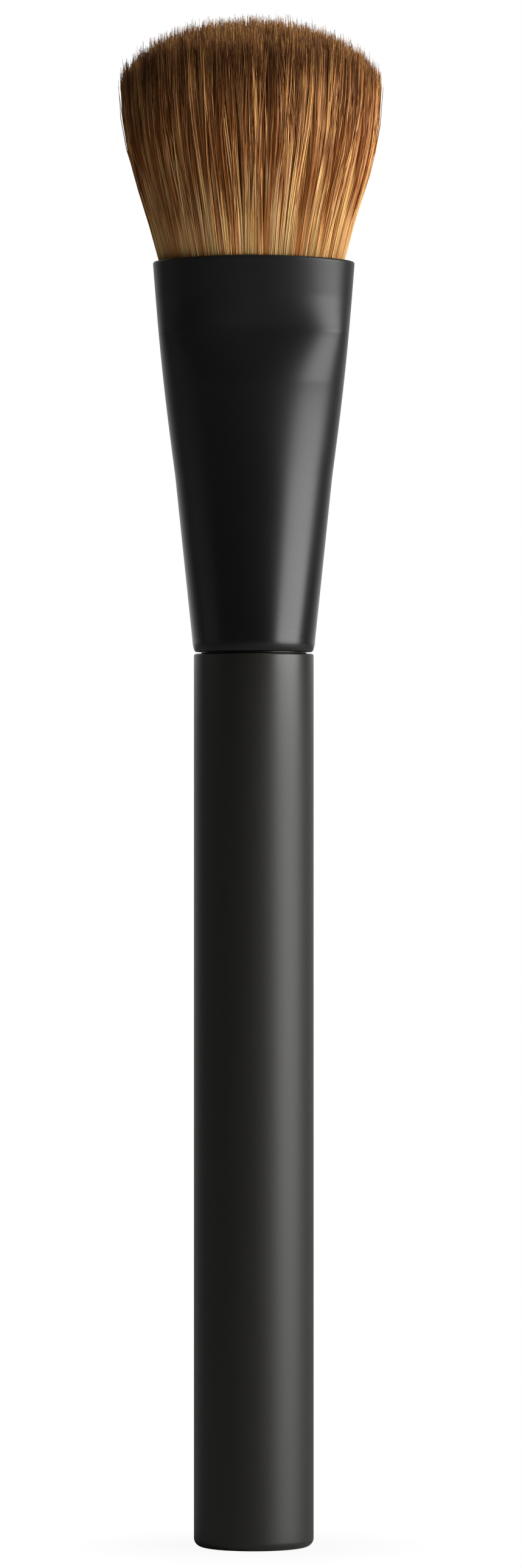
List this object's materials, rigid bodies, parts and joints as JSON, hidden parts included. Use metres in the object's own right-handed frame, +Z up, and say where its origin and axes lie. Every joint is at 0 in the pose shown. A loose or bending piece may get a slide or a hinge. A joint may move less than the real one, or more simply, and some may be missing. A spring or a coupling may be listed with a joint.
{
  "type": "foundation brush",
  "caption": "Make-up brush with a dense domed oval tuft, a pinched metal ferrule and a straight round handle that it can stand on.",
  "frame": {"origin": "centre of the handle's flat end, which the brush stands on", "axes": "+Z runs up the brush from the handle's end to the tuft; X is the wide way of the tuft and of the ferrule's mouth; -Y is the front"},
  "size_m": [0.0275, 0.019, 0.1615],
  "materials": {
    "lacquered_wood": "satin black lacquer",
    "adhesive": "cured, amber",
    "black_aluminium": "satin black anodised",
    "potting_resin": "cured, amber",
    "set_hair": "matte",
    "thread": "matte",
    "hair": "soft sheen, brown tips over golden roots"
  },
  "bodies": {
    "root": {"handle": "lacquered_wood", "handle_adhesive": "adhesive", "ferrule": "black_aluminium", "root_resin": "potting_resin", "hair_root_plug": "set_hair", "binding_thread": "thread", "hair_tuft": "hair"}
  },
  "joints": []
}
